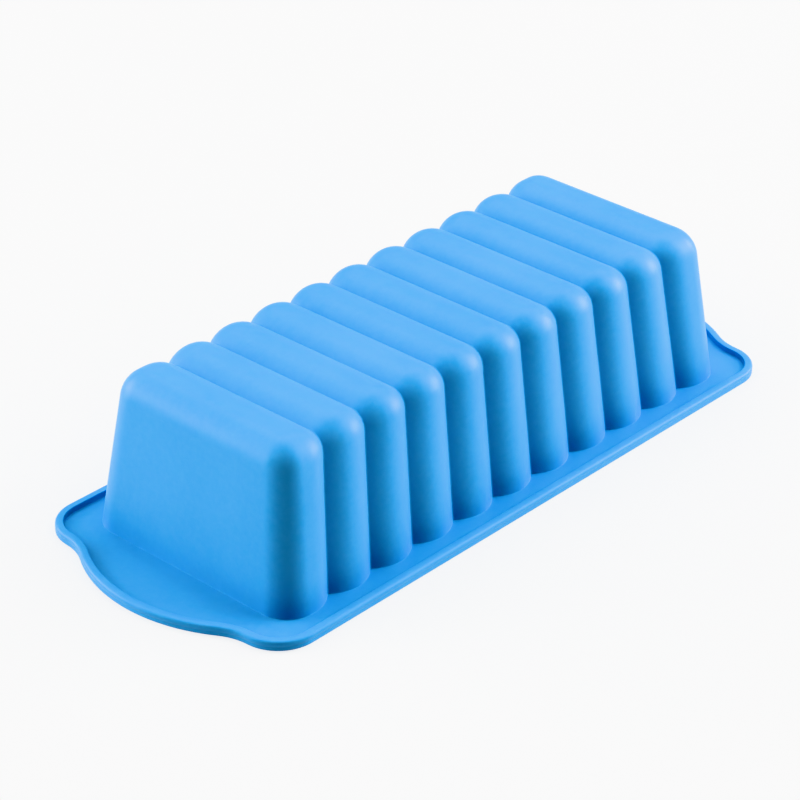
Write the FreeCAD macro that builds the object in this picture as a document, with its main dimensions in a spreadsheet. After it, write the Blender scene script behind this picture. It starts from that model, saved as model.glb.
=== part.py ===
import math
import os

import FreeCAD
import Part
import Sketcher
from FreeCAD import Vector

# One-piece silicone loaf mould for soap bars, standing mouth down on its rim.
# X runs along the loaf, Y across it, Z up from the mouth plane.
# The origin is the middle of the mouth plane.
# The moulding is stored as regions that meet face to face: the base panel, two
# long walls and two end walls of the ribbed shell, the flange plate round the
# mouth, one pull tab at each end and the raised bead along the rim.

doc = FreeCAD.newDocument("soap_mould")

# ---------------------------------------------------------------- size table
SIZES = [
    ("rib_pitch", 20.0, "spacing of the grooves between two soap bars, at the mouth"),
    ("rib_count", 11, "bars along the loaf"),
    ("rib_rise", 3.9, "height of a rib crest over the groove beside it"),
    ("groove_radius", 0.7, "small radius in the bottom of each groove"),
    ("groove_half_width", 42.1, "half width over the grooves, at the mouth"),
    ("groove_height", 54.5, "height of the groove bottoms above the mouth plane"),
    ("shoulder_radius", 6.3, "side-to-base radius along a groove"),
    ("side_draft", 7.5, "lean of the long walls, degrees"),
    ("end_half_length", 112.3, "half length over the end walls, at the mouth"),
    ("end_corner_radius", 10.9, "upright corner radius at the mouth"),
    ("end_base_radius", 9.0, "corner radius up at the base"),
    ("end_edge_radius", 0.8, "smallest shoulder radius, on the end wall outline"),
    ("fan_height", 923.0, "height at which the leaning ribs would meet"),
    ("wall_thickness", 1.8, "thickness of walls and base"),
    ("base_split", 52.0, "height where the walls hand over to the base panel"),
    ("mitre_start", 66.0, "apex of the mitres between long walls and end walls"),
    ("flange_thickness", 1.3, "plate round the mouth and the pull tabs"),
    ("tab_half_length", 138.2, "half length over the tips of the pull tabs"),
    ("rim_half_width", 55.8, "half width over the rim"),
    ("rim_reach", 126.0, "half length over the rim corners, beside the tabs"),
    ("rim_corner_radius", 14.5, "plan radius of the four rim corners"),
    ("tab_radius", 59.0, "plan radius of the rounded tab edge"),
    ("tab_blend_radius", 20.0, "hollow radius between tab and rim corner"),
    ("tab_root", 119.0, "where the pull tabs start, from the middle"),
    ("bead_width", 2.8, "width of the raised bead"),
    ("bead_height", 3.5, "height of the raised bead"),
    ("bead_outer_radius", 0.9, "rounding of the outer top edge of the bead"),
    ("bead_inner_radius", 0.35, "rounding of the inner top edge of the bead"),
    ("bead_lower_radius", 0.4, "rounding of the outer lower edge of the bead"),
]

sheet = doc.addObject("Spreadsheet::Sheet", "sizes")
sheet.Label = "sizes"
for row, (alias, value, meaning) in enumerate(SIZES, start=1):
    sheet.set("A%d" % row, alias)
    sheet.set("B%d" % row, str(value))
    sheet.set("C%d" % row, meaning)
    sheet.setAlias("B%d" % row, alias)
doc.recompute()


def size(alias):
    """Plain number held in the size table."""
    return float(getattr(sheet, alias))


# ------------------------------------------------- ribbed shell: section family
# Every rib is lofted through hoops that run up one long wall, over the base and
# down the other wall. A hoop is placed by its station along X and by its bulge,
# the distance it stands outside the hoop of the groove bottoms.
DRAFT = math.radians(size("side_draft"))
HALF_PITCH = size("rib_pitch") / 2
WHOLE_RIBS = int(size("rib_count")) - 2
END_CREST = (WHOLE_RIBS + 1) * HALF_PITCH
SHOULDER_Z = size("groove_height") - size("shoulder_radius")
SHOULDER_Y = (size("groove_half_width") - SHOULDER_Z * math.tan(DRAFT)
              - size("shoulder_radius") / math.cos(DRAFT))
# a rib arc meets its grooves tangentially: both follow from the pitch and the rise
ARC_SUM = (HALF_PITCH ** 2 + size("rib_rise") ** 2) / (2 * size("rib_rise"))
ARC_ANGLE = math.asin(HALF_PITCH / ARC_SUM)
# the hoops start below the mouth plane, and the ribs are trimmed to the flange
START_Z = -4.0
# hoops over each rib arc and round each upright corner: one more than the steps
ARC_STEPS = 6
SEWING_GAP = 0.001


def fan(x, y, z):
    """Point of the shell: X shrinks with height because the ribs lean inwards."""
    return Vector(x * (1 - z / size("fan_height")), y, z)


def hoop(foot, crown):
    """Closed hoop; foot and crown are (station, bulge) at the mouth and the base."""
    x_foot, b_foot = foot
    x_top, b_top = crown
    radius = max(size("shoulder_radius") + b_top, size("end_edge_radius"))
    # a radius held open moves its centre in, so wall and base planes stay in place
    spare = radius - (size("shoulder_radius") + b_top)
    centre_z = SHOULDER_Z - spare
    centre_y = SHOULDER_Y + spare * (math.tan(DRAFT) - 1 / math.cos(DRAFT))
    y_foot = (size("groove_half_width") - START_Z * math.tan(DRAFT)
              + b_foot / math.cos(DRAFT))

    def on_shoulder(angle):
        return (centre_y + radius * math.cos(angle), centre_z + radius * math.sin(angle))

    corner = [on_shoulder(a) for a in (DRAFT, (DRAFT + math.pi / 2) / 2, math.pi / 2)]
    right = [fan(x_top, y, z) for y, z in corner]
    left = [fan(x_top, -y, z) for y, z in corner]
    foot_right = fan(x_foot, y_foot, START_Z)
    foot_left = fan(x_foot, -y_foot, START_Z)
    return Part.Wire([
        Part.makeLine(foot_left, foot_right),
        Part.makeLine(foot_right, right[0]),
        Part.Arc(right[0], right[1], right[2]).toShape(),
        Part.makeLine(right[2], left[2]),
        Part.Arc(left[2], left[1], left[0]).toShape(),
        Part.makeLine(left[0], foot_left),
    ])


def rib_stations(crest, inset):
    """(station, bulge) pairs over the arc of one rib."""
    radius = ARC_SUM - size("groove_radius") - inset
    low = size("rib_rise") - ARC_SUM + size("groove_radius")
    angles = [ARC_ANGLE * (2 * k / ARC_STEPS - 1) for k in range(ARC_STEPS + 1)]
    return [(crest + radius * math.sin(a), low + radius * math.cos(a)) for a in angles]


def groove_stations(crest, inset, side):
    """(station, bulge) pairs of the half groove on one side (-1 or 1) of a rib."""
    radius = size("groove_radius") + inset
    pairs = []
    for angle in (ARC_ANGLE, ARC_ANGLE / 2, 0):
        reach = HALF_PITCH - radius * math.sin(angle)
        pairs.append((crest + side * reach,
                      size("groove_radius") - radius * math.cos(angle)))
    return pairs if side > 0 else pairs[::-1]


def corner_stations(corner_radius, inset):
    """(station, bulge) pairs round the upright corner of the right-hand end."""
    centre = size("end_half_length") - corner_radius
    low = size("rib_rise") - corner_radius
    radius = corner_radius - inset
    angles = [math.pi / 2 * k / ARC_STEPS for k in range(ARC_STEPS + 1)]
    return [(centre + radius * math.sin(a), low + radius * math.cos(a)) for a in angles]


def ribbed_block(inset):
    """All ribs sewn into one solid; inset moves the skin inwards."""
    def skin(feet, crowns=None):
        hoops = [hoop(f, c) for f, c in zip(feet, crowns or feet)]
        return Part.makeLoft(hoops, False, False).Faces

    faces = []
    for k in range(WHOLE_RIBS):
        crest = (k - (WHOLE_RIBS - 1) / 2) * size("rib_pitch")
        faces += skin(groove_stations(crest, inset, -1))
        faces += skin(rib_stations(crest, inset))
        faces += skin(groove_stations(crest, inset, 1))
    # an end rib: half a groove, half an arc, then a flat run into the upright corner
    rising = rib_stations(END_CREST, inset)[:ARC_STEPS // 2 + 1]
    feet = rising[-1:] + corner_stations(size("end_corner_radius"), inset)
    crowns = rising[-1:] + corner_stations(size("end_base_radius"), inset)
    end_rib = (skin(groove_stations(END_CREST, inset, -1)) + skin(rising)
               + skin(feet, crowns) + [Part.Face(hoop(feet[-1], crowns[-1]))])
    faces += end_rib
    faces += [f.mirror(Vector(0, 0, 0), Vector(1, 0, 0)) for f in end_rib]
    shell = Part.makeShell(faces)
    shell.sewShape(SEWING_GAP)
    solid = Part.makeSolid(shell.Shells[0])
    if solid.Volume < 0:
        solid.reverse()
    return solid


outer_block = doc.addObject("Part::Feature", "outer_block")
outer_block.Shape = ribbed_block(0.0)
cavity_core = doc.addObject("Part::Feature", "cavity_core")
cavity_core.Shape = ribbed_block(size("wall_thickness"))


# ------------------------------------------------ plates that follow the rim line
def origin_plane(body, role):
    return [f for f in body.Origin.OriginFeatures if f.Role == role][0]


def outline_body(name, inset, height):
    """Plate with the outline of the rim moved in by an inset.

    A quarter of the outline is drawn and mirrored twice. inset and height are
    expressions on the size table.
    """
    body = doc.addObject("PartDesign::Body", name)
    sketch = body.newObject("Sketcher::SketchObject", name + "_quarter")
    sketch.AttachmentSupport = [(origin_plane(body, "XY_Plane"), "")]
    sketch.MapMode = "FlatFace"

    tab_r, blend_r = size("tab_radius"), size("tab_blend_radius")
    corner_r = size("rim_corner_radius")
    tab_x = size("tab_half_length") - tab_r
    corner = Vector(size("rim_reach") - corner_r, size("rim_half_width") - corner_r, 0)
    # blend centre: tangent to the tab arc and to the corner arc
    reach_tab, reach_corner = tab_r + blend_r, corner_r + blend_r
    gap = math.hypot(corner.x - tab_x, corner.y)
    along = (reach_tab ** 2 - reach_corner ** 2 + gap ** 2) / (2 * gap)
    aside = math.sqrt(reach_tab ** 2 - along ** 2)
    ux, uy = (corner.x - tab_x) / gap, corner.y / gap
    blend = Vector(tab_x + along * ux + aside * uy, along * uy - aside * ux, 0)
    tab_turn = math.atan2(blend.y, blend.x - tab_x)
    corner_turn = math.atan2(blend.y - corner.y, blend.x - corner.x)
    up = Vector(0, 0, 1)

    def arc(centre, radius, start, end):
        return Part.ArcOfCircle(Part.Circle(centre, up, radius), start, end)

    half_width = size("rim_half_width")
    tip = size("tab_half_length")
    origin = Vector(0, 0, 0)
    axis_x = sketch.addGeometry(Part.LineSegment(origin, Vector(tip, 0, 0)))
    tab = sketch.addGeometry(arc(Vector(tab_x, 0, 0), tab_r, 0, tab_turn))
    hollow = sketch.addGeometry(
        arc(blend, blend_r, corner_turn + math.pi, tab_turn + math.pi))
    turn = sketch.addGeometry(arc(corner, corner_r, corner_turn, math.pi / 2))
    side = sketch.addGeometry(Part.LineSegment(
        Vector(corner.x, half_width, 0), Vector(0, half_width, 0)))
    axis_y = sketch.addGeometry(Part.LineSegment(Vector(0, half_width, 0), origin))

    def tie(*args):
        return sketch.addConstraint(Sketcher.Constraint(*args))

    start, end, centre = 1, 2, 3
    tie("Coincident", axis_x, start, -1, 1)
    tie("Horizontal", axis_x)
    tie("Coincident", axis_x, end, tab, start)
    tie("PointOnObject", tab, centre, -1)
    tie("Tangent", tab, end, hollow, end)
    tie("Tangent", hollow, start, turn, start)
    tie("Tangent", turn, end, side, start)
    tie("Horizontal", side)
    tie("Coincident", side, end, axis_y, start)
    tie("Coincident", axis_y, end, -1, 1)
    tie("Vertical", axis_y)

    def dimension(index, expression):
        sketch.setExpression("Constraints[%d]" % index, expression)

    dimension(tie("DistanceX", -1, 1, axis_x, end, tip),
              "sizes.tab_half_length - " + inset)
    dimension(tie("DistanceY", -1, 1, side, end, half_width),
              "sizes.rim_half_width - " + inset)
    dimension(tie("Radius", tab, tab_r), "sizes.tab_radius - " + inset)
    dimension(tie("Radius", hollow, blend_r), "sizes.tab_blend_radius + " + inset)
    dimension(tie("Radius", turn, corner_r), "sizes.rim_corner_radius - " + inset)
    dimension(tie("DistanceX", -1, 1, turn, centre, corner.x),
              "sizes.rim_reach - sizes.rim_corner_radius")

    pad = body.newObject("PartDesign::Pad", name + "_pad")
    pad.Profile = sketch
    pad.setExpression("Length", height)
    spread = body.newObject("PartDesign::MultiTransform", name + "_spread")
    spread.Originals = [pad]
    mirrors = []
    for plane in ("YZ_Plane", "XZ_Plane"):
        mirror = body.newObject("PartDesign::Mirrored", name + "_" + plane[:2].lower())
        mirror.MirrorPlane = (origin_plane(body, plane), [""])
        mirrors.append(mirror)
    spread.Transformations = mirrors
    spread.Refine = True
    body.Tip = spread
    doc.recompute()
    return body


def box(name, length, width, height, x, y, z):
    """Part box; every size and position is an expression on the size table."""
    block = doc.addObject("Part::Box", name)
    for prop, expression in (("Length", length), ("Width", width), ("Height", height)):
        block.setExpression(prop, expression)
    for axis, expression in (("x", x), ("y", y), ("z", z)):
        block.setExpression("Placement.Base." + axis, expression)
    return block


def boolean(kind, name, base, tool):
    result = doc.addObject("Part::" + kind, name)
    result.Base = base
    result.Tool = tool
    result.Refine = True
    return result


plate = outline_body("rim_plate", "sizes.bead_width", "sizes.flange_thickness")
bead_block = outline_body("bead_block", "0", "sizes.bead_height")
bead_inside = outline_body("bead_inside", "sizes.bead_width", "sizes.bead_height")

# --------------------------------------------------------------- finished pieces
FULL_LENGTH = "2 * sizes.rim_reach"
FULL_WIDTH = "2 * sizes.rim_half_width"
MITRE_TURN = 45
LEVEL_WITHIN = 0.01        # an edge this flat runs along the rim

above_flange = box("above_flange", FULL_LENGTH, FULL_WIDTH, "2 * sizes.groove_height",
                   "-sizes.rim_reach", "-sizes.rim_half_width",
                   "sizes.flange_thickness")
ribs = boolean("Common", "ribs_above_flange", outer_block, above_flange)
shell = boolean("Cut", "ribbed_shell", ribs, cavity_core)

base_zone = box("base_zone", FULL_LENGTH, FULL_WIDTH, "sizes.groove_height",
                "-sizes.rim_reach", "-sizes.rim_half_width", "sizes.base_split")
base_panel = boolean("Common", "base_panel", shell, base_zone)

# the corner of a square block, turned on its edge, splits the walls at the mitres
end_walls = []
end_zones = []
for name, turn, apex in (("end_wall_left", 180 - MITRE_TURN, "-sizes.mitre_start"),
                         ("end_wall_right", -MITRE_TURN, "sizes.mitre_start")):
    zone = box(name + "_zone", "sizes.rim_reach", "sizes.rim_reach",
               "sizes.base_split", apex, "0", "0")
    zone.Placement.Rotation = FreeCAD.Rotation(Vector(0, 0, 1), turn)
    end_zones.append(zone)
    end_walls.append(boolean("Common", name, shell, zone))

between_ends = shell
for end_zone in end_zones:
    between_ends = boolean("Cut", "less_" + end_zone.Name, between_ends, end_zone)
long_walls = []
for name, near_side in (("long_wall_front", "-sizes.rim_half_width"),
                        ("long_wall_back", "0")):
    zone = box(name + "_zone", FULL_LENGTH, "sizes.rim_half_width",
               "sizes.base_split", "-sizes.rim_reach", near_side, "0")
    long_walls.append(boolean("Common", name, between_ends, zone))

opened_plate = boolean("Cut", "opened_plate", plate, cavity_core)
plate_middle = box("plate_middle", "2 * sizes.tab_root", FULL_WIDTH,
                   "sizes.flange_thickness", "-sizes.tab_root",
                   "-sizes.rim_half_width", "0")
flange = boolean("Common", "flange", opened_plate, plate_middle)

TAB_REACH = "sizes.tab_half_length - sizes.tab_root"
tab_right_zone = box("tab_right_zone", TAB_REACH, FULL_WIDTH, "sizes.flange_thickness",
                     "sizes.tab_root", "-sizes.rim_half_width", "0")
tab_left_zone = box("tab_left_zone", TAB_REACH, FULL_WIDTH, "sizes.flange_thickness",
                    "-sizes.tab_half_length", "-sizes.rim_half_width", "0")
tab_right = boolean("Common", "pull_tab_right", opened_plate, tab_right_zone)
tab_left = boolean("Common", "pull_tab_left", opened_plate, tab_left_zone)

bead_ring = boolean("Cut", "bead_ring", bead_block, bead_inside)
doc.recompute()


def is_outer(edge):
    """True for an edge of the ring that lies on the outer outline."""
    middle = edge.valueAt((edge.FirstParameter + edge.LastParameter) / 2)
    probe = Part.Vertex(middle)
    return bead_inside.Shape.distToShape(probe)[0] > size("bead_width") / 2


# round the two upper edges and the outer lower edge of the bead, all the way round
roundings = []
for number, edge in enumerate(bead_ring.Shape.Edges, start=1):
    low, high = edge.BoundBox.ZMin, edge.BoundBox.ZMax
    if high - low > LEVEL_WITHIN:
        continue
    if low > size("bead_height") / 2:
        radius = size("bead_outer_radius" if is_outer(edge) else "bead_inner_radius")
    elif is_outer(edge):
        radius = size("bead_lower_radius")
    else:
        continue
    roundings.append((number, radius, radius))
rim_bead = doc.addObject("Part::Fillet", "rim_bead")
rim_bead.Base = bead_ring
rim_bead.Edges = roundings

doc.recompute()

# ------------------------------------------------------------------ check, export
NODES = [base_panel] + long_walls + end_walls + [flange, tab_left, tab_right, rim_bead]
for item in doc.Objects:
    if "Invalid" in item.State or "Error" in item.State:
        raise RuntimeError("%s did not rebuild: %s" % (item.Name, item.State))
os.makedirs("parts", exist_ok=True)
for node in NODES:
    shape = node.Shape
    if shape.isNull() or not shape.isValid() or len(shape.Solids) != 1:
        raise RuntimeError("%s is not one sound solid" % node.Label)
    shape.exportStep("parts/%s.step" % node.Label)
    bounds = shape.BoundBox
    print("%-16s volume %9.1f  x %7.2f..%7.2f  y %7.2f..%7.2f  z %6.2f..%6.2f" % (
        node.Label, shape.Volume, bounds.XMin, bounds.XMax,
        bounds.YMin, bounds.YMax, bounds.ZMin, bounds.ZMax))
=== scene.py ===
import math

import bmesh
import bpy
import numpy as np
from mathutils import Matrix, Vector


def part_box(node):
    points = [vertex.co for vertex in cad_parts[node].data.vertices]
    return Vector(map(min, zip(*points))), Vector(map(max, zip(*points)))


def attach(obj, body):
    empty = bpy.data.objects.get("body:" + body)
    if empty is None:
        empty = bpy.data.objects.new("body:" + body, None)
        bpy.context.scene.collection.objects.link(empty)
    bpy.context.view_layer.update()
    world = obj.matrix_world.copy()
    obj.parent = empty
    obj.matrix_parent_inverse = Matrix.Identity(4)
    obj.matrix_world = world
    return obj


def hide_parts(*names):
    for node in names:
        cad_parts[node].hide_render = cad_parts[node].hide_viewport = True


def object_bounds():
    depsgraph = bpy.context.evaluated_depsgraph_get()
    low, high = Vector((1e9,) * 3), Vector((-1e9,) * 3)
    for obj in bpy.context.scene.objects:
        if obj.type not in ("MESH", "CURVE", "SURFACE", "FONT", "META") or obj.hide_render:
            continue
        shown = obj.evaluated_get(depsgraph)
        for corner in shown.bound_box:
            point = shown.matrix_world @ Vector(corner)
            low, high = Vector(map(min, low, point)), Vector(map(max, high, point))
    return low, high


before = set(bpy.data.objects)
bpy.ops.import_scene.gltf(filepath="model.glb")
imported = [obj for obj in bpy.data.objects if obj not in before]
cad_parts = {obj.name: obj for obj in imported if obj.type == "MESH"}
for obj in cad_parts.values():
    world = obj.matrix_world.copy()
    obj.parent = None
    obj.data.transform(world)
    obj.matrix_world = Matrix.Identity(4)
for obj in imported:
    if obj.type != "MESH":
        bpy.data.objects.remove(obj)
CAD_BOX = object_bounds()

# One continuous silicone moulding, standing mouth down. Lengths are in millimetres
# until the mesh is made, X runs along the loaf, Y across it and Z up.
MM = 0.001

# ------------------------------------------------------------------ the mould's sizes
RIB_PITCH = 20.0
RIB_COUNT = 11
RIB_RISE = 3.9             # crest of a rib above the bottom of its groove
GROOVE_RADIUS = 0.7
GROOVE_HALF_WIDTH = 42.1   # over the grooves, at the mouth plane
GROOVE_HEIGHT = 54.5       # of the grooves across the base
SHOULDER_RADIUS = 6.3
SIDE_DRAFT = math.radians(7.5)
END_HALF_LENGTH = 112.3    # at the mouth plane
END_CORNER_RADIUS = 10.9   # between an end wall and a long wall, at the foot
END_BASE_RADIUS = 9.0      # the same corner at the base, and the base's end edges
FAN_HEIGHT = 923.0         # the ribs and end walls lean in to meet this far up
WALL = 1.8
FLANGE_TOP = 1.3
RIM_REACH = 126.0          # half length of the rim, without its tabs
RIM_CORNER_RADIUS = 14.5
TAB_RADIUS = 59.0
TAB_BLEND_RADIUS = 20.0
BEAD_WIDTH = 2.8
FOOT_Z = -4.0              # where the straight wall lines start, below the mouth plane

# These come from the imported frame.
RIM_TIP = CAD_BOX[1].x / MM
RIM_HALF_WIDTH = CAD_BOX[1].y / MM
BEAD_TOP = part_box("rim_bead")[1].z / MM

# Softened edges, and the parting line round the bead.
FOOT_FILLET = 0.10         # wall into flange
MOUTH_ROUND = 0.55         # cavity wall into the underside
BEAD_FOOT_FILLET = 0.35
BEAD_INNER_ROUND = 0.35
BEAD_OUTER_ROUND = 0.95
BEAD_LOWER_ROUND = 0.4
PARTING_Z = 1.45
PARTING_HALF = 0.14
PARTING_DEPTH = 0.10

# How fine the mesh is.
RIB_STEPS = 7              # from a rib's crest to the edge of its groove
GROOVE_STEPS = 4           # from there to the bottom of the groove
CORNER_STEPS = 14
WALL_ROWS = 14
SHOULDER_ROWS = 12
CROSS_STEPS = 48           # across the base, and across each end wall
FLANGE_RINGS = 4
FILLET_STEPS = 4
BEAD_OUTER_STEPS = 7

# The ribs' arcs and the grooves' arcs touch; ARC_SUM is the sum of their radii.
HALF_PITCH = RIB_PITCH / 2
ARC_SUM = (HALF_PITCH ** 2 + RIB_RISE ** 2) / (2 * RIB_RISE)
ARC_ANGLE = math.asin(HALF_PITCH / ARC_SUM)
SHOULDER_Z = GROOVE_HEIGHT - SHOULDER_RADIUS
SHOULDER_Y = (GROOVE_HALF_WIDTH - SHOULDER_Z * math.tan(SIDE_DRAFT)
              - SHOULDER_RADIUS / math.cos(SIDE_DRAFT))


# ---------------------------------------------------------------- ribs along the loaf
def stations(inset):
    """Right half of the loaf, from the middle crest out to the end plane.

    Each row is (x at the foot, bulge at the foot, x at the crown, bulge at the crown),
    where the bulge is how far the skin stands out past the bottoms of the outer grooves.
    """
    rib = ARC_SUM - GROOVE_RADIUS - inset
    low = RIB_RISE - ARC_SUM + GROOVE_RADIUS
    hollow = GROOVE_RADIUS + inset
    places = []
    for k in range((RIB_COUNT + 1) // 2):
        crest = k * RIB_PITCH
        for step in range(GROOVE_STEPS if k else 0):
            a = ARC_ANGLE * step / GROOVE_STEPS
            places.append((crest - HALF_PITCH + hollow * math.sin(a),
                           GROOVE_RADIUS - hollow * math.cos(a)))
        first = -RIB_STEPS if k else 0
        last = 0 if k == RIB_COUNT // 2 else RIB_STEPS
        for step in range(first, last + 1):
            a = ARC_ANGLE * step / RIB_STEPS
            places.append((crest + rib * math.sin(a), low + rib * math.cos(a)))
        for step in range(GROOVE_STEPS - 1 if last else 0):
            a = ARC_ANGLE * (1 - (step + 1) / GROOVE_STEPS)
            places.append((crest + HALF_PITCH - hollow * math.sin(a),
                           GROOVE_RADIUS - hollow * math.cos(a)))
    rows = [(x, b, x, b) for x, b in places]
    for step in range(CORNER_STEPS + 1):
        a = math.pi / 2 * step / CORNER_STEPS
        row = []
        for radius in (END_CORNER_RADIUS, END_BASE_RADIUS):
            turn = radius - inset
            row += [END_HALF_LENGTH - radius + turn * math.sin(a),
                    RIB_RISE - radius + turn * math.cos(a)]
        rows.append(tuple(row))
    return np.array(rows)


def hoop(x_foot, b_foot, x_top, b_top, start_z):
    """Half a hoop over the loaf, y > 0, as (x, y, z): wall rows, then shoulder rows."""
    radius = SHOULDER_RADIUS + b_top
    foot_y = (GROOVE_HALF_WIDTH - FOOT_Z * math.tan(SIDE_DRAFT)
              + b_foot / math.cos(SIDE_DRAFT))
    foot = np.array([x_foot * (1 - FOOT_Z / FAN_HEIGHT), foot_y, FOOT_Z])
    angles = np.linspace(SIDE_DRAFT, math.pi / 2, SHOULDER_ROWS + 1)
    arc_z = SHOULDER_Z + radius * np.sin(angles)
    arc = np.stack([x_top * (1 - arc_z / FAN_HEIGHT),
                    SHOULDER_Y + radius * np.cos(angles), arc_z], 1)
    start = (start_z - FOOT_Z) / (arc[0, 2] - FOOT_Z)
    along = np.linspace(start, 1, WALL_ROWS + 1)[:-1, None]
    return np.vstack([foot + along * (arc[0] - foot), arc])


def ribbed_skin(inset, start_z):
    """Rings round the loaf from start_z up, and the grid that closes the base."""
    right = stations(inset)
    left = right[:0:-1] * [-1, 1, -1, 1]
    hoops = np.array([hoop(*row, start_z) for row in np.vstack([left, right])])
    back = hoops.transpose(1, 0, 2)
    front = back * [1, -1, 1]
    across = np.linspace(0, 1, CROSS_STEPS + 1)[1:-1, None]
    rings = []
    for near, far in zip(front, back):
        right_end = near[-1] + across * (far[-1] - near[-1])
        left_end = far[0] + across * (near[0] - far[0])
        rings.append(np.vstack([near, right_end, far[::-1], left_end]))
    near, far = front[-1, 1:-1], back[-1, 1:-1]
    base = near[:, None] + across[None] * (far - near)[:, None]
    return rings, base


# ------------------------------------------------------------------------ rim outline
def arc_points(centre, radius, start, end, count):
    """Points on an arc in plan, and their rays out from the centre."""
    angles = np.linspace(start, end, count)
    ray = np.stack([np.cos(angles), np.sin(angles)], 1)
    return np.array(centre) + radius * ray, ray


def rim_quarter():
    """Centres and turning angles of one quarter of the rim (x and y positive).

    The tab's arc and the corner's arc are joined by a hollow blend that touches both.
    """
    tab_x = RIM_TIP - TAB_RADIUS
    corner = np.array([RIM_REACH - RIM_CORNER_RADIUS, RIM_HALF_WIDTH - RIM_CORNER_RADIUS])
    # the blend's centre is this far from the tab's centre, and from the corner's
    from_tab = TAB_RADIUS + TAB_BLEND_RADIUS
    from_corner = RIM_CORNER_RADIUS + TAB_BLEND_RADIUS
    gap = math.hypot(corner[0] - tab_x, corner[1])
    along = (from_tab ** 2 - from_corner ** 2 + gap ** 2) / (2 * gap)
    aside = math.sqrt(from_tab ** 2 - along ** 2)
    ux, uy = (corner[0] - tab_x) / gap, corner[1] / gap
    blend = np.array([tab_x + along * ux + aside * uy, along * uy - aside * ux])
    tab_turn = math.atan2(blend[1], blend[0] - tab_x)
    corner_turn = math.atan2(blend[1] - corner[1], blend[0] - corner[0])
    return tab_x, corner, blend, tab_turn, corner_turn


def rim_samples(side_shares, corner_count, end_shares):
    """Points and outward normals of a quarter rim, from the middle of the long side.

    The shares say how far along its stretch each point of the long side, and of the
    tab end, lies.
    """
    tab_x, corner, blend, tab_turn, corner_turn = rim_quarter()
    side = np.stack([side_shares * corner[0], np.full(len(side_shares), RIM_HALF_WIDTH)], 1)
    side_ray = np.tile([0.0, 1.0], (len(side), 1))
    turn, turn_ray = arc_points(corner, RIM_CORNER_RADIUS, math.pi / 2, corner_turn,
                                corner_count)
    hollow_length = TAB_BLEND_RADIUS * (tab_turn - corner_turn)
    tab_length = TAB_RADIUS * tab_turn
    ends, end_rays = [], []
    for share in end_shares:
        run = share * (hollow_length + tab_length)
        if run < hollow_length:
            a = corner_turn + run / TAB_BLEND_RADIUS
            ray = np.array([math.cos(a), math.sin(a)])
            ends.append(blend - TAB_BLEND_RADIUS * ray)
        else:
            a = tab_turn - (run - hollow_length) / TAB_RADIUS
            ray = np.array([math.cos(a), math.sin(a)])
            ends.append(np.array([tab_x, 0.0]) + TAB_RADIUS * ray)
        end_rays.append(ray)
    return (np.vstack([side, turn, np.array(ends)]),
            np.vstack([side_ray, turn_ray, np.array(end_rays)]))


def rim_loop():
    """Rim points and normals matched one to one with the rings of the ribbed skin."""
    half = stations(0.0)
    corner_start = len(half) - CORNER_STEPS - 1
    side_shares = half[:corner_start, 0] / half[corner_start, 0]
    end_shares = np.linspace(0, 1, CROSS_STEPS // 2 + 1)[1:]
    points, rays = rim_samples(side_shares, CORNER_STEPS + 1, end_shares)
    count = len(points)
    outwards, inwards = range(count), range(count - 1, -1, -1)
    ring = []
    for order, side_x, side_y in ((inwards, -1, -1), (outwards, 1, -1),
                                  (inwards, 1, 1), (outwards, -1, 1)):
        # each quarter starts on the point that the one before ends with
        ring += [(i, side_x, side_y) for i in order[1:]]
    # the skin's rings start where the front wall leaves the left end wall
    start = count - len(half) - 1
    ring = ring[start:] + ring[:start]
    picked = np.array([points[i] * [side_x, side_y] for i, side_x, side_y in ring])
    normals = np.array([rays[i] * [side_x, side_y] for i, side_x, side_y in ring])
    return picked, normals


def rim_ring(points, normals, inset, z):
    """The rim outline moved in by the inset, at height z."""
    flat = points - inset * normals
    return np.column_stack([flat, np.full(len(flat), z)])


def bead_section():
    """(inset, z) pairs from the foot of the bead's inner side round to its underside."""
    section = []

    def arc(centre_inset, centre_z, radius, start, end, steps):
        for k in range(steps + 1):
            a = math.radians(start + (end - start) * k / steps)
            section.append((centre_inset - radius * math.cos(a),
                            centre_z + radius * math.sin(a)))

    # angles are measured from straight outwards
    arc(BEAD_WIDTH + BEAD_FOOT_FILLET, FLANGE_TOP + BEAD_FOOT_FILLET, BEAD_FOOT_FILLET,
        -90, 0, FILLET_STEPS)
    arc(BEAD_WIDTH - BEAD_INNER_ROUND, BEAD_TOP - BEAD_INNER_ROUND, BEAD_INNER_ROUND,
        180, 90, FILLET_STEPS)
    arc(BEAD_OUTER_ROUND, BEAD_TOP - BEAD_OUTER_ROUND, BEAD_OUTER_ROUND,
        90, 0, BEAD_OUTER_STEPS)
    section.append((0.0, PARTING_Z + PARTING_HALF))
    section.append((PARTING_DEPTH, PARTING_Z))
    section.append((0.0, PARTING_Z - PARTING_HALF))
    arc(BEAD_LOWER_ROUND, BEAD_LOWER_ROUND, BEAD_LOWER_ROUND, 0, -90, FILLET_STEPS)
    return section


# ------------------------------------------------------------------- the whole skin
def plan_normals(ring):
    """Outward normals of a ring, in plan."""
    tangent = np.roll(ring, -1, 0) - np.roll(ring, 1, 0)
    normal = np.stack([tangent[:, 1], -tangent[:, 0]], 1)
    return normal / np.linalg.norm(normal, axis=1)[:, None]


def flared(ring, radius, z):
    """Rings that flare a wall ring out onto a flat face at height z."""
    normal = plan_normals(ring)
    rings = []
    for k in range(1, FILLET_STEPS + 1):
        a = math.pi / 2 * k / FILLET_STEPS
        flat = ring[:, :2] + normal * radius * (1 - math.cos(a))
        height = z + radius * (1 - math.sin(a))
        rings.append(np.column_stack([flat, np.full(len(ring), height)]))
    return rings


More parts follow.
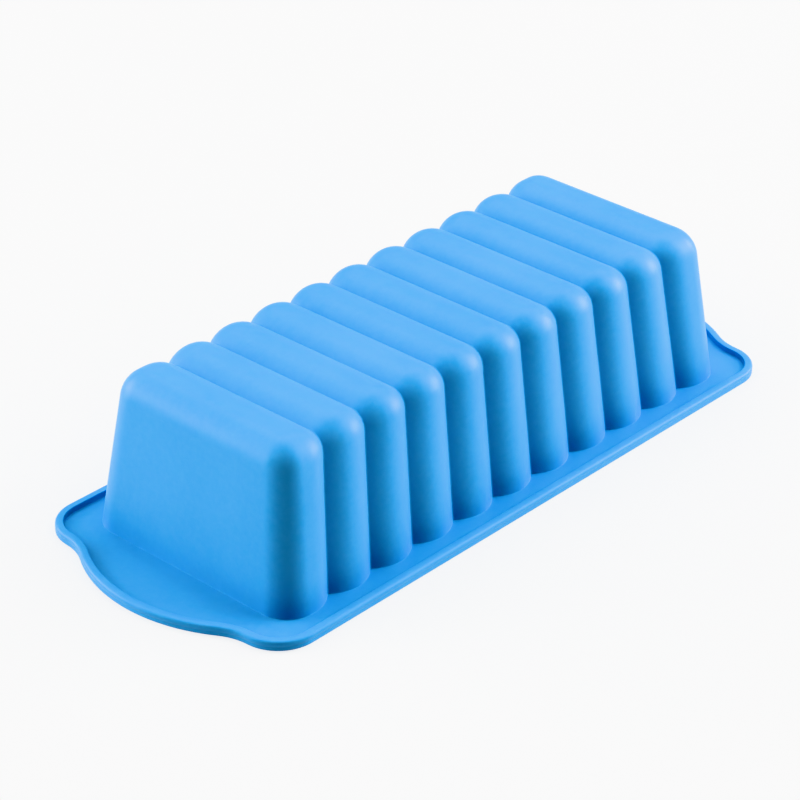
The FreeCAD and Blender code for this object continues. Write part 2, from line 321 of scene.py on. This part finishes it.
def between(low, high, count):
    """Rings evenly spaced between two others."""
    return [low + (high - low) * k / (count + 1) for k in range(1, count + 1)]


def close_base(bm, ring, base, inside):
    """Fills the top ring with the grid of the base; inside faces look down."""
    columns = base.shape[0] + 2
    across = base.shape[1]
    right_end = ring[columns:columns + across]
    back = ring[columns + across:2 * columns + across][::-1]
    left_end = ring[2 * columns + across:][::-1]
    grid = []
    for i in range(columns):
        if i == 0:
            middle = left_end
        elif i == columns - 1:
            middle = right_end
        else:
            middle = [bm.verts.new(p * MM) for p in base[i - 1]]
        grid.append([ring[i]] + list(middle) + [back[i]])
    for a, b in zip(grid, grid[1:]):
        for j in range(len(a) - 1):
            quad = (a[j], b[j], b[j + 1], a[j + 1])
            bm.faces.new(quad[::-1] if inside else quad)


def moulding_mesh():
    """The closed skin, outside and inside, with every face looking outwards."""
    outer, outer_base = ribbed_skin(0.0, FLANGE_TOP + FOOT_FILLET)
    inner, inner_base = ribbed_skin(WALL, MOUTH_ROUND)
    points, normals = rim_loop()
    foot = flared(outer[0], FOOT_FILLET, FLANGE_TOP)
    bead = [rim_ring(points, normals, inset, z) for inset, z in bead_section()]
    mouth = flared(inner[0], MOUTH_ROUND, 0.0)
    # from the base down the outside, over the rim, and up the inside
    rings = outer[::-1] + foot
    rings += between(foot[-1], bead[0], FLANGE_RINGS) + bead
    rings += between(bead[-1], mouth[-1], FLANGE_RINGS) + mouth[::-1] + inner
    count = len(rings[0])
    bm = bmesh.new()
    rows = [[bm.verts.new(p * MM) for p in ring] for ring in rings]
    for upper, lower in zip(rows, rows[1:]):
        for i in range(count):
            j = (i + 1) % count
            bm.faces.new((upper[i], lower[i], lower[j], upper[j]))
    close_base(bm, rows[0], outer_base, False)
    close_base(bm, rows[-1], inner_base, True)
    mesh = bpy.data.meshes.new("silicone_moulding")
    bm.to_mesh(mesh)
    bm.free()
    mesh.shade_smooth()
    return mesh


mould = bpy.data.objects.new("silicone_moulding", moulding_mesh())
bpy.context.scene.collection.objects.link(mould)


# -------------------------------------------------------------------------- material
DEEP_BLUE = (0.021, 0.163, 0.352, 1)
FRESH_BLUE = (0.029, 0.188, 0.395, 1)
# pale blue: random mottling, and the edges partly as rubbed wear, partly as a painted
# highlight
WORN_AND_HIGHLIGHT_BLUE = (0.085, 0.275, 0.500, 1)
# painted shade: multiplied into the colour where nearby walls close in
PAINTED_SHADE_TINT = (0.02, 0.62, 0.86, 1)

# Noise: scale per metre, octaves of detail, and roughness of the detail.
DRIFT = (22, 3, 0.5)      # broad drift of the pigment
MOTTLE = (420, 4, 0.6)    # millimetre mottling of the matt skin
GRAIN = (2600, 2, 0.5)    # grain of the tool that the skin was moulded on
WAVES = (34, 1, 0.5)      # slight unevenness of the walls

# Strength and depth in metres of the relief that each noise gives.
WAVE_RELIEF = (0.5, 0.0006)
MOTTLE_RELIEF = (0.2, 0.00008)
GRAIN_RELIEF = (0.25, 0.00004)

# Where the colour changes. The noise runs from 0 to 1 and mostly stays in these bands.
DRIFT_BAND = (0.32, 0.68)
WORN_BAND = (0.35, 0.75)
MOTTLE_BAND = (0.3, 0.7)
WORN_SHARE = 0.16         # how far the mottling turns the pigment to the pale blue
RUB_HIGHLIGHT_EVENNESS = 0.55       # how much of an edge's rubbing and painted highlight is left where mottling is low
PAINTED_SHADE_REACH = 0.020     # how near a wall has to be to darken a face with painted shade
PAINTED_SHADE_BAND = (0.84, 0.45)    # openness at which painted shade starts and ends to darken a face
PAINTED_SHADE_SHARE = 0.6
RUB_HIGHLIGHT_BAND = (0.530, 0.640)     # pointiness (0.5 on the flat) of the edges that are rubbed pale and carry a painted highlight
RUB_HIGHLIGHT_SHARE = 0.30

ROUGHNESS = (0.36, 0.47)
RUBBED_POLISH = 0.18      # how much smoother a fully rubbed edge is
SILICONE_IOR = 1.41
SPECULAR_TINT = (0.0, 0.4, 1.0, 1)
TRANSLUCENCY = 0.12
SCATTER_REACH = 0.0012    # metres
SCATTER_SHARES = (0.1, 0.4, 1.0)    # of that reach, for red, green and blue


def silicone():
    """Matt, slightly translucent silicone rubber, rubbed pale on its edges; the pale edges
    are partly a painted highlight.

    The colour is painted darker, as painted shade, where neighbouring walls close in on the
    skin.
    """
    mat = bpy.data.materials.new("blue_silicone")
    mat.use_nodes = True
    nodes, links = mat.node_tree.nodes, mat.node_tree.links
    shader = nodes["Principled BSDF"]
    place = nodes.new("ShaderNodeTexCoord").outputs["Object"]

    def noise(scale, detail, roughness):
        """Noise that is fixed to the mould."""
        texture = nodes.new("ShaderNodeTexNoise")
        texture.inputs["Scale"].default_value = scale
        texture.inputs["Detail"].default_value = detail
        texture.inputs["Roughness"].default_value = roughness
        links.new(place, texture.inputs["Vector"])
        return texture.outputs["Fac"]

    def remap(value, start, end, low, high):
        """Turns start to end into low to high, and holds it outside that."""
        node = nodes.new("ShaderNodeMapRange")
        for name, number in (("From Min", start), ("From Max", end),
                             ("To Min", low), ("To Max", high)):
            node.inputs[name].default_value = number
        links.new(value, node.inputs["Value"])
        return node.outputs["Result"]

    def blend(kind, share, base, over):
        """Mixes a colour over another; either may be a colour or a socket."""
        node = nodes.new("ShaderNodeMix")
        node.data_type = "RGBA"
        node.blend_type = kind
        colours = [i for i in node.inputs if i.type == "RGBA"]
        links.new(share, node.inputs["Factor"])
        for socket, colour in zip(colours, (base, over)):
            if isinstance(colour, tuple):
                socket.default_value = colour
            else:
                links.new(colour, socket)
        return [o for o in node.outputs if o.type == "RGBA"][0]

    def bump(height, strength, distance, under=None):
        """Relief from a height, laid over any relief under it."""
        node = nodes.new("ShaderNodeBump")
        node.inputs["Strength"].default_value = strength
        node.inputs["Distance"].default_value = distance
        links.new(height, node.inputs["Height"])
        if under:
            links.new(under, node.inputs["Normal"])
        return node.outputs["Normal"]

    drift = noise(*DRIFT)
    mottle = noise(*MOTTLE)
    grain = noise(*GRAIN)
    waves = noise(*WAVES)
    shape = nodes.new("ShaderNodeNewGeometry").outputs["Pointiness"]
    # painted shade: ambient occlusion darkens the colour where nearby walls close in
    openness = nodes.new("ShaderNodeAmbientOcclusion")
    openness.only_local = True
    openness.inputs["Distance"].default_value = PAINTED_SHADE_REACH
    painted_shade = remap(openness.outputs["AO"], *PAINTED_SHADE_BAND, 0.0, PAINTED_SHADE_SHARE)
    # convex edges made paler: partly rubbed wear, partly a painted highlight
    rub_highlight_edge = remap(shape, *RUB_HIGHLIGHT_BAND, 0.0, RUB_HIGHLIGHT_SHARE)
    rubbed_and_highlight = nodes.new("ShaderNodeMath")
    rubbed_and_highlight.operation = "MULTIPLY"
    links.new(rub_highlight_edge, rubbed_and_highlight.inputs[0])
    links.new(remap(mottle, *MOTTLE_BAND, RUB_HIGHLIGHT_EVENNESS, 1.0), rubbed_and_highlight.inputs[1])

    pigment = blend("MIX", remap(drift, *DRIFT_BAND, 0.0, 1.0), DEEP_BLUE, FRESH_BLUE)
    pigment = blend("MIX", remap(mottle, *WORN_BAND, 0.0, WORN_SHARE), pigment, WORN_AND_HIGHLIGHT_BLUE)
    # painted shade in the creases and at the feet of the walls
    pigment = blend("MULTIPLY", painted_shade, pigment, PAINTED_SHADE_TINT)
    # pale edges: partly rubbed wear, partly a painted highlight
    pigment = blend("MIX", rubbed_and_highlight.outputs[0], pigment, WORN_AND_HIGHLIGHT_BLUE)
    links.new(pigment, shader.inputs["Base Color"])

    matt = remap(mottle, *MOTTLE_BAND, *ROUGHNESS)
    polished = nodes.new("ShaderNodeMath")
    polished.operation = "MULTIPLY_ADD"
    polished.inputs[1].default_value = -RUBBED_POLISH
    links.new(rubbed_and_highlight.outputs[0], polished.inputs[0])
    links.new(matt, polished.inputs[2])
    links.new(polished.outputs[0], shader.inputs["Roughness"])

    relief = bump(waves, *WAVE_RELIEF)
    relief = bump(mottle, *MOTTLE_RELIEF, relief)
    relief = bump(grain, *GRAIN_RELIEF, relief)
    links.new(relief, shader.inputs["Normal"])

    shader.inputs["IOR"].default_value = SILICONE_IOR
    shader.inputs["Specular Tint"].default_value = SPECULAR_TINT
    shader.inputs["Subsurface Weight"].default_value = TRANSLUCENCY
    shader.inputs["Subsurface Radius"].default_value = SCATTER_SHARES
    shader.inputs["Subsurface Scale"].default_value = SCATTER_REACH
    return mat


mould.data.materials.append(silicone())
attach(mould, "root")
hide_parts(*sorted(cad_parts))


# ---------------------------------------------------------- floor, camera and lights
FLOOR_SIZE = 3.2
FLOOR_DROP = 0.0003       # metres under the mould's rim
FLOOR_GLOW = 0.9
FLOOR_GREY = (0.225, 0.225, 0.225, 1)
WHITE = (1, 1, 1, 1)
BACKDROP_GLOW = 2.2

CAM_AZIMUTH = math.radians(-47.89)
CAM_ELEVATION = math.radians(30.10)
CAM_ROLL = math.radians(0.57)
CAM_DISTANCE = 1.0286
CAM_RIGHT = -0.00679
CAM_UP = 0.01556
CAM_LENS = 134.1
CAM_SENSOR = 36
CAM_CLIP = (0.01, 50)

LIGHT_AIM = Vector((0, 0, 0.03))
# Name, bearing in degrees (0 is the camera's side, positive to its right), distance,
# height, width and depth of the box in metres, and power in watts.
SOFT_BOXES = (
    ("overhead", 180, 0.6, 1.4, (1.6, 0.8), 49),
    ("left_box", -97, 1.2, 0.35, (0.85, 0.5), 43),
    ("right_box", 109, 1.2, 0.35, (0.6, 0.5), 43),
    ("left_high", -95, 1.0, 1.0, (0.6, 0.6), 13),
    ("right_high", 98, 1.0, 1.0, (0.7, 0.7), 31),
)


def floor():
    """Softly lit table just under the mould; it can be seen through from below."""
    bpy.ops.mesh.primitive_plane_add(size=FLOOR_SIZE, location=(0, 0, -FLOOR_DROP))
    plane = bpy.context.object
    plane.name = "floor"
    mat = bpy.data.materials.new("pale_floor")
    mat.use_nodes = True
    nodes, links = mat.node_tree.nodes, mat.node_tree.links
    shader = nodes["Principled BSDF"]
    shader.inputs["Base Color"].default_value = FLOOR_GREY
    shader.inputs["Roughness"].default_value = 1.0
    shader.inputs["Specular IOR Level"].default_value = 0.0
    shader.inputs["Emission Color"].default_value = WHITE
    shader.inputs["Emission Strength"].default_value = FLOOR_GLOW
    sides = nodes.new("ShaderNodeMixShader")
    links.new(nodes.new("ShaderNodeNewGeometry").outputs["Backfacing"], sides.inputs[0])
    links.new(shader.outputs[0], sides.inputs[1])
    links.new(nodes.new("ShaderNodeBsdfTransparent").outputs[0], sides.inputs[2])
    links.new(sides.outputs[0], nodes["Material Output"].inputs["Surface"])
    plane.data.materials.append(mat)


def backdrop():
    """White surroundings that the camera sees but that light nothing."""
    world = bpy.data.worlds.new("studio")
    bpy.context.scene.world = world
    world.use_nodes = True
    nodes, links = world.node_tree.nodes, world.node_tree.links
    seen = nodes.new("ShaderNodeLightPath").outputs["Is Camera Ray"]
    glow = nodes.new("ShaderNodeMath")
    glow.operation = "MULTIPLY"
    glow.inputs[1].default_value = BACKDROP_GLOW
    links.new(seen, glow.inputs[0])
    nodes["Background"].inputs["Color"].default_value = WHITE
    links.new(glow.outputs[0], nodes["Background"].inputs["Strength"])


def camera():
    """Adds the camera, and returns the level direction to its right."""
    sa, ca = math.sin(CAM_AZIMUTH), math.cos(CAM_AZIMUTH)
    se, ce = math.sin(CAM_ELEVATION), math.cos(CAM_ELEVATION)
    back = Vector((sa * ce, -ca * ce, se))
    level = Vector((ca, sa, 0))
    up = back.cross(level)
    right = math.cos(CAM_ROLL) * level + math.sin(CAM_ROLL) * up
    up = back.cross(right)
    data = bpy.data.cameras.new("camera")
    data.lens = CAM_LENS
    data.sensor_width = CAM_SENSOR
    data.clip_start, data.clip_end = CAM_CLIP
    cam = bpy.data.objects.new("camera", data)
    place = back * CAM_DISTANCE + right * CAM_RIGHT + up * CAM_UP
    axes = Matrix((right, up, back)).transposed()
    cam.matrix_world = Matrix.Translation(place) @ axes.to_4x4()
    bpy.context.scene.collection.objects.link(cam)
    bpy.context.scene.camera = cam
    return level


def soft_box(level, name, bearing, distance, height, size, power):
    """Area light aimed at the mould."""
    toward_camera = Vector((level.y, -level.x, 0))
    turn = math.radians(bearing)
    place = distance * (toward_camera * math.cos(turn) + level * math.sin(turn))
    place.z = height
    data = bpy.data.lights.new(name, "AREA")
    data.shape = "RECTANGLE"
    data.size, data.size_y = size
    data.energy = power
    lamp = bpy.data.objects.new(name, data)
    lamp.location = place
    lamp.rotation_euler = (LIGHT_AIM - place).to_track_quat("-Z", "Y").to_euler()
    bpy.context.scene.collection.objects.link(lamp)


camera_level = camera()
floor()
for box in SOFT_BOXES:
    soft_box(camera_level, *box)
backdrop()
bpy.context.scene.view_settings.view_transform = "Khronos PBR Neutral"
